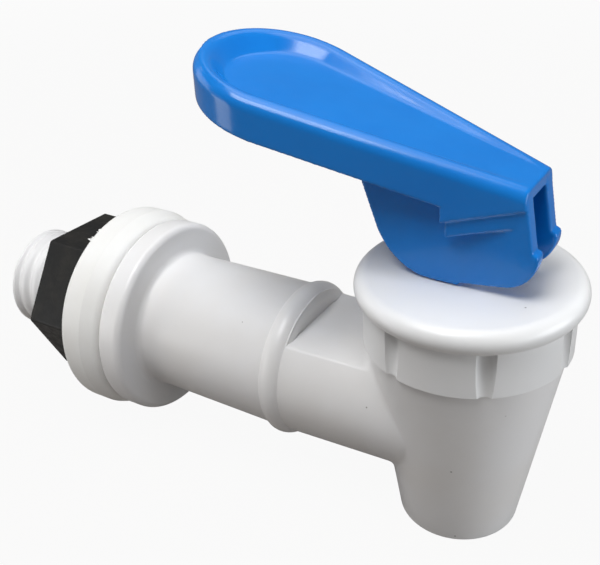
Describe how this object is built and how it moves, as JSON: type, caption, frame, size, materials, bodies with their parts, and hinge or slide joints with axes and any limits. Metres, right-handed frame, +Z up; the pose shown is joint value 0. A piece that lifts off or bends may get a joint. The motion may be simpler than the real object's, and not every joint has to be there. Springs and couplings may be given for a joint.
{
  "type": "dispenser tap",
  "caption": "Wall-mounted push-lever tap: threaded stud with flange, tube and tapered spout, and a dished lever whose cams lift a sprung valve.",
  "frame": {"origin": "on the stud axis, where the sealing washer's face meets the dispenser's wall", "axes": "+X out of the wall along the stud and tube towards the spout, +Z up along the valve stem"},
  "size_m": [0.0911, 0.0312, 0.0622],
  "materials": {
    "white_plastic": "satin moulded plastic",
    "white_rubber": "smooth white silicone",
    "black_plastic": "dull moulded plastic",
    "bonnet_plastic": "satin moulded plastic",
    "blue_plastic": "glossy moulded plastic",
    "stem_plastic": "natural acetal",
    "spring_steel": "bright spring wire",
    "seat_rubber": "translucent silicone"
  },
  "bodies": {
    "tap_body": {"body": "white_plastic", "wall_washer": "white_rubber", "wall_nut": "black_plastic", "bonnet": "bonnet_plastic"},
    "valve": {"seat_cup": "seat_rubber", "spring": "spring_steel"},
    "stem": {"stem": "stem_plastic"},
    "lever": {"lever": "blue_plastic"}
  },
  "joints": [
    {"name": "valve_lift", "type": "slide", "parent": "tap_body", "child": "valve", "axis": [0, 0, 1], "range_m": [0, 0.0022], "deforming": ["spring", "seat_cup"]},
    {"name": "lever_swivel", "type": "hinge", "parent": "valve", "child": "stem", "pos_m": [0.058, 0, 0.0268], "axis": [0, 0, 1], "continuous": true},
    {"name": "lever_press", "type": "hinge", "parent": "stem", "child": "lever", "pos_m": [0.058, 0, 0.0268], "axis": [0, -1, 0], "range_deg": [0, 35], "stiffness_Nm_per_rad": 0.02, "springref_deg": -17.19}
  ],
  "couplings": [
    {"joint": "valve_lift", "follows": "lever_press", "m_per_rad": 0.0036}
  ]
}
